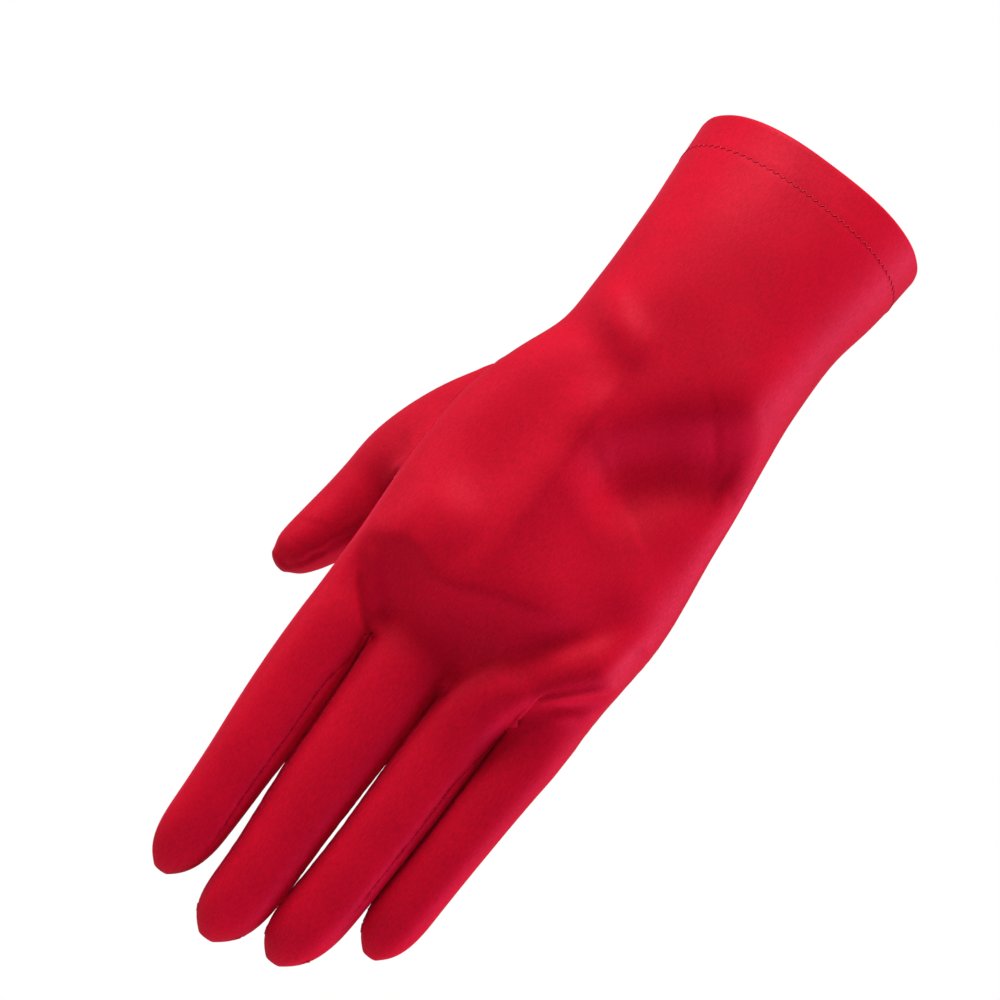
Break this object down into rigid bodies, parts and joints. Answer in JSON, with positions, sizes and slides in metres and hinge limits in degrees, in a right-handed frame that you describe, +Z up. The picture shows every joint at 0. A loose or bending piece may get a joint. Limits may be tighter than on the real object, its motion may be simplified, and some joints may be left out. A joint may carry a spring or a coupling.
{
  "type": "wrist length dress glove",
  "caption": "Five finger dress glove of stretch satin for a left hand, ending in a stitched hem past the wrist.",
  "frame": {"origin": "middle of the wrist opening", "axes": "+Z up the arm, the fingers hanging down; -Y the back of the hand; +X the little finger's side"},
  "size_m": [0.0879, 0.0541, 0.235],
  "materials": {
    "satin": "stretch satin",
    "hem": "stretch satin, doubled"
  },
  "bodies": {
    "root": {"hand_panel": "satin", "thumb": "satin", "fourchette_index_middle": "satin", "fourchette_middle_ring": "satin", "fourchette_ring_little": "satin", "cuff_hem": "hem"}
  },
  "joints": []
}
